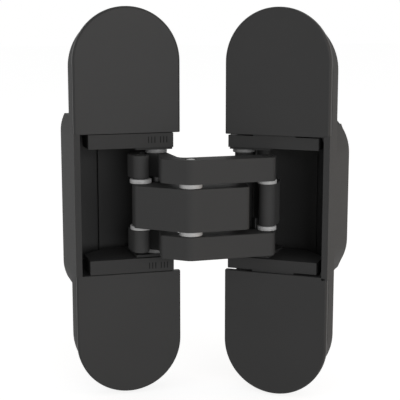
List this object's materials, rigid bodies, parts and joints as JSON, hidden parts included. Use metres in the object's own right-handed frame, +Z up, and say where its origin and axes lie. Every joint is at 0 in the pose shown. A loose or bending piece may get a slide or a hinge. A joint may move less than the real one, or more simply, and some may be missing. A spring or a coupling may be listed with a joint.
{
  "type": "concealed door hinge",
  "caption": "Concealed mortise hinge with round-ended leaves, snap covers and crossed arms on upright pivots, standing open.",
  "frame": {"origin": "middle of the jamb leaf's screw pattern, on the back plane of its flange", "axes": "+X across the jamb leaf towards the door leaf, +Y into the jamb, +Z up along the hinge"},
  "size_m": [0.08, 0.0455, 0.1092],
  "materials": {
    "cover": "satin anthracite lacquer",
    "leaf": "satin anthracite lacquer on cast zinc",
    "carrier": "satin black lacquer",
    "arm": "satin black lacquer on steel",
    "pin": "ground",
    "washer": "grey bearing plastic",
    "screw": "zinc plated"
  },
  "bodies": {
    "jamb_leaf": {"jamb_body": "leaf", "jamb_cover_upper": "cover", "jamb_cover_lower": "cover", "jamb_clamp_screws": "screw"},
    "jamb_carrier": {"jamb_carrier_upper": "carrier", "jamb_carrier_lower": "carrier", "jamb_pivot_pin": "pin", "jamb_link_pin": "pin"},
    "outer_arms": {"outer_arm_upper": "arm", "outer_arm_lower": "arm", "centre_pin": "pin", "centre_washers": "washer", "door_arm_pin": "pin", "door_arm_washers": "washer"},
    "middle_arm": {"middle_arm": "arm", "jamb_arm_pin": "pin", "jamb_arm_washers": "washer"},
    "jamb_link": {"jamb_link_upper": "arm", "jamb_link_lower": "arm"},
    "door_link": {"door_link": "arm"},
    "door_carrier": {"door_carrier_upper": "carrier", "door_carrier_lower": "carrier", "door_pivot_pin": "pin", "door_link_pin": "pin"},
    "door_leaf": {"door_body": "leaf", "door_cover_upper": "cover", "door_cover_lower": "cover", "door_clamp_screws": "screw"}
  },
  "joints": [
    {"name": "jamb_side_adjust", "type": "slide", "parent": "jamb_leaf", "child": "jamb_carrier", "axis": [1, 0, 0], "range_m": [-0.001, 0.001]},
    {"name": "jamb_main_pivot", "type": "hinge", "parent": "jamb_carrier", "child": "outer_arms", "pos_m": [0.00915, -0.00295, 0], "axis": [0, 0, 1], "range_deg": [-84.5, 21.2]},
    {"name": "centre_pivot", "type": "hinge", "parent": "outer_arms", "child": "middle_arm", "pos_m": [0.01475, -0.0197, 0], "axis": [0, 0, 1], "range_deg": [-6.8, 26.5]},
    {"name": "door_main_pivot", "type": "hinge", "parent": "middle_arm", "child": "door_carrier", "pos_m": [0.03337, -0.00866, 0], "axis": [0, 0, 1], "range_deg": [-85.7, 21.6]},
    {"name": "jamb_link_pivot", "type": "hinge", "parent": "middle_arm", "child": "jamb_link", "pos_m": [0.00355, -0.0077, 0], "axis": [0, 0, 1], "range_deg": [-6.4, 1.8]},
    {"name": "door_link_pivot", "type": "hinge", "parent": "outer_arms", "child": "door_link", "pos_m": [0.03723, -0.01812, 0], "axis": [0, 0, 1], "range_deg": [-7.9, 30.9]},
    {"name": "door_depth_adjust", "type": "slide", "parent": "door_carrier", "child": "door_leaf", "axis": [0.5906, 0.807, 0], "range_m": [-0.0005, 0.0005]}
  ],
  "couplings": [
    {"joint": "centre_pivot", "follows": "jamb_main_pivot", "ratio": -0.311},
    {"joint": "door_main_pivot", "follows": "jamb_main_pivot", "ratio": 1.012},
    {"joint": "jamb_link_pivot", "follows": "jamb_main_pivot", "ratio": 0.073},
    {"joint": "door_link_pivot", "follows": "jamb_main_pivot", "ratio": -0.363}
  ]
}
